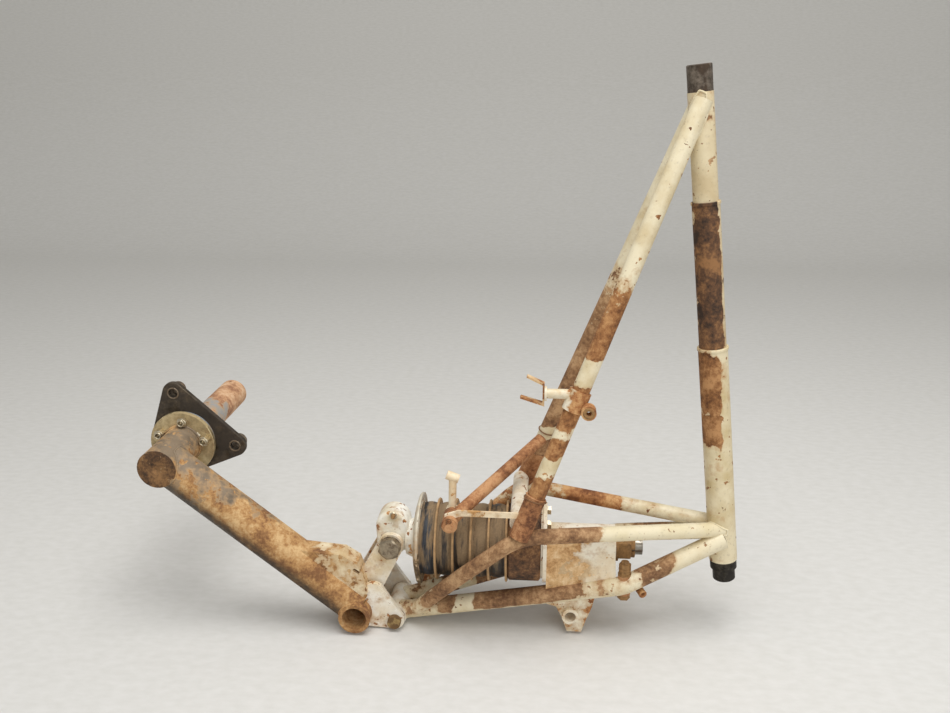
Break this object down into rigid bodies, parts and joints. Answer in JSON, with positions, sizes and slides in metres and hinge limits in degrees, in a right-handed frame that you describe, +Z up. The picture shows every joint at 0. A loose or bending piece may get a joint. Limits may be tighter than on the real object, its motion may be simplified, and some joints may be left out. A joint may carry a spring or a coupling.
{
  "type": "main landing gear leg",
  "caption": "Retractable light aircraft main landing gear leg: welded tube truss, trailing arm with axle and torque plate, and a rubber disc shock pack.",
  "frame": {"origin": "on the retraction tube's axis, inside its lower journal", "axes": "+Z up as the leg stands on a floor, +Y along the arm hinge and the axle towards the axle's free end, +X from the arm towards the retraction tube"},
  "size_m": [0.844, 0.355, 0.7678],
  "materials": {
    "cream_paint": "chipped cream paint over steel with rust showing",
    "white_paint": "worn white paint",
    "bare_steel": "dull oiled steel",
    "rusted_steel": "brown surface rust",
    "dark_paint": "dull dark paint",
    "zinc_plate": "yellow zinc plating, dulled",
    "bronze": "plain bearing bronze",
    "plate_steel": "stained steel",
    "rubber": "dusty aged rubber"
  },
  "bodies": {
    "leg": {"apex_bushes": "bronze", "apex_sleeve": "cream_paint", "branch_tube": "rusted_steel", "clamp_fork": "cream_paint", "cross_member": "cream_paint", "cuffs": "cream_paint", "diagonal_far": "cream_paint", "diagonal_near": "cream_paint", "flange_plate": "white_paint", "guide_bushes": "bronze", "guide_tube": "cream_paint", "hanging_lug_far": "cream_paint", "hanging_lug_near": "cream_paint", "lever_sleeve": "rusted_steel", "line_clamp": "cream_paint", "lower_journal": "bare_steel", "lower_tube_far": "cream_paint", "lower_tube_near": "cream_paint", "pivot_lower": "cream_paint", "pivot_middle": "cream_paint", "pivot_upper": "cream_paint", "rail_far": "cream_paint", "rail_near": "cream_paint", "rubber_disc_5": "rubber", "seat_bolts": "bare_steel", "seat_drum": "rusted_steel", "shackle_bolt": "bare_steel", "shackle_sleeve": "rusted_steel", "spacer_plate_5": "plate_steel", "strap": "cream_paint", "upper_journal": "bare_steel", "web_plates": "cream_paint"},
    "trailing_arm": {"cross_tube": "rusted_steel", "arm_tube": "rusted_steel", "axle_stub": "rusted_steel", "hub_flange": "zinc_plate", "axle": "rusted_steel", "torque_plate": "dark_paint", "guide_sleeves": "dark_paint", "flange_bolts": "bare_steel", "lever_lugs": "cream_paint", "hinge_ears": "cream_paint", "wedge": "rusted_steel", "hinge_bolt": "bare_steel", "collar_bolt": "bare_steel"},
    "shock_collar": {"collar": "white_paint", "end_plate": "white_paint", "shock_rod": "bare_steel", "rod_nut": "bare_steel"},
    "door_lever": {"door_lever": "cream_paint", "lever_shaft": "bare_steel"},
    "spacer_1": {"spacer_plate_1": "plate_steel", "rubber_disc_1": "rubber"},
    "spacer_2": {"spacer_plate_2": "plate_steel", "rubber_disc_2": "rubber"},
    "spacer_3": {"spacer_plate_3": "plate_steel", "rubber_disc_3": "rubber"},
    "spacer_4": {"spacer_plate_4": "plate_steel", "rubber_disc_4": "rubber"}
  },
  "joints": [
    {"name": "arm_hinge", "type": "hinge", "parent": "leg", "child": "trailing_arm", "pos_m": [-0.461, 0, -0.066], "axis": [0, 1, 0], "range_deg": [0, 9], "stiffness_Nm_per_rad": 6000, "springref_deg": -0.57, "deforming": ["rubber_disc_1", "rubber_disc_2", "rubber_disc_3", "rubber_disc_4", "rubber_disc_5"]},
    {"name": "collar_slide", "type": "slide", "parent": "leg", "child": "shock_collar", "axis": [1, 0, 0], "range_m": [0, 0.0175]},
    {"name": "spacer_slide_1", "type": "slide", "parent": "leg", "child": "spacer_1", "axis": [1, 0, 0], "range_m": [0, 0.01408]},
    {"name": "spacer_slide_2", "type": "slide", "parent": "leg", "child": "spacer_2", "axis": [1, 0, 0], "range_m": [0, 0.01066]},
    {"name": "spacer_slide_3", "type": "slide", "parent": "leg", "child": "spacer_3", "axis": [1, 0, 0], "range_m": [0, 0.00724]},
    {"name": "spacer_slide_4", "type": "slide", "parent": "leg", "child": "spacer_4", "axis": [1, 0, 0], "range_m": [0, 0.00382]},
    {"name": "door_lever_turn", "type": "hinge", "parent": "leg", "child": "door_lever", "pos_m": [-0.377, -0.058, 0.1095], "axis": [0, 1, 0], "range_deg": [-50, 15]}
  ],
  "couplings": [
    {"joint": "collar_slide", "follows": "arm_hinge", "m_per_rad": 0.10885},
    {"joint": "spacer_slide_1", "follows": "arm_hinge", "m_per_rad": 0.08708},
    {"joint": "spacer_slide_2", "follows": "arm_hinge", "m_per_rad": 0.06531},
    {"joint": "spacer_slide_3", "follows": "arm_hinge", "m_per_rad": 0.04354},
    {"joint": "spacer_slide_4", "follows": "arm_hinge", "m_per_rad": 0.02177}
  ]
}
